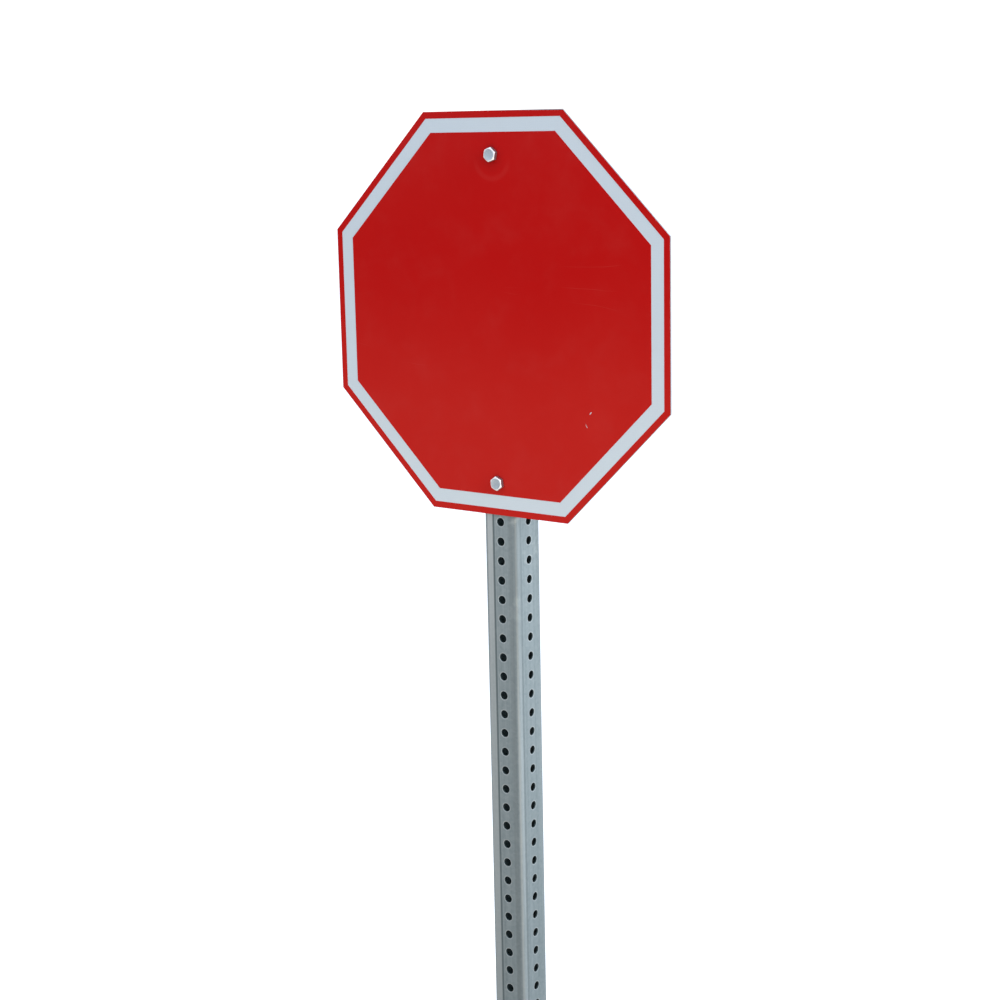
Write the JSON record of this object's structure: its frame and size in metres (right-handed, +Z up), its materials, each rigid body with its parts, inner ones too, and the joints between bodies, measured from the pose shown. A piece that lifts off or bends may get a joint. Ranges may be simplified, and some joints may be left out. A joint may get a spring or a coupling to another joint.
{
  "type": "signpost with sign",
  "caption": "Octagonal flat plate bolted to the front of a tall square post with holes along every face, standing in a short ground sleeve.",
  "frame": {"origin": "on the post's axis, at ground level", "axes": "+Z up along the post; the sign faces -Y, and +X is to the right of someone who reads it"},
  "size_m": [0.5, 0.0822, 2.148],
  "materials": {
    "galvanised_steel": "hot-dip galvanised, dull, with streaks along the tube",
    "aluminium_plate": "bare mill finish",
    "white_sheeting": "white reflective sheeting, smooth",
    "red_film": "red film over reflective sheeting, glossy",
    "zinc_plated_steel": "bright zinc plate"
  },
  "bodies": {
    "root": {"post": "galvanised_steel", "anchor_sleeve": "galvanised_steel", "sign_blank": "aluminium_plate", "white_sheeting": "white_sheeting", "red_field_film": "red_film", "red_edge_film": "red_film", "upper_bolt": "zinc_plated_steel", "upper_flat_washer": "zinc_plated_steel", "upper_spring_washer": "zinc_plated_steel", "upper_nut": "zinc_plated_steel", "lower_bolt": "zinc_plated_steel", "lower_flat_washer": "zinc_plated_steel", "lower_spring_washer": "zinc_plated_steel", "lower_nut": "zinc_plated_steel", "anchor_bolt": "zinc_plated_steel", "anchor_head_washer": "zinc_plated_steel", "anchor_nut_washer": "zinc_plated_steel", "anchor_spring_washer": "zinc_plated_steel", "anchor_nut": "zinc_plated_steel"}
  },
  "joints": []
}
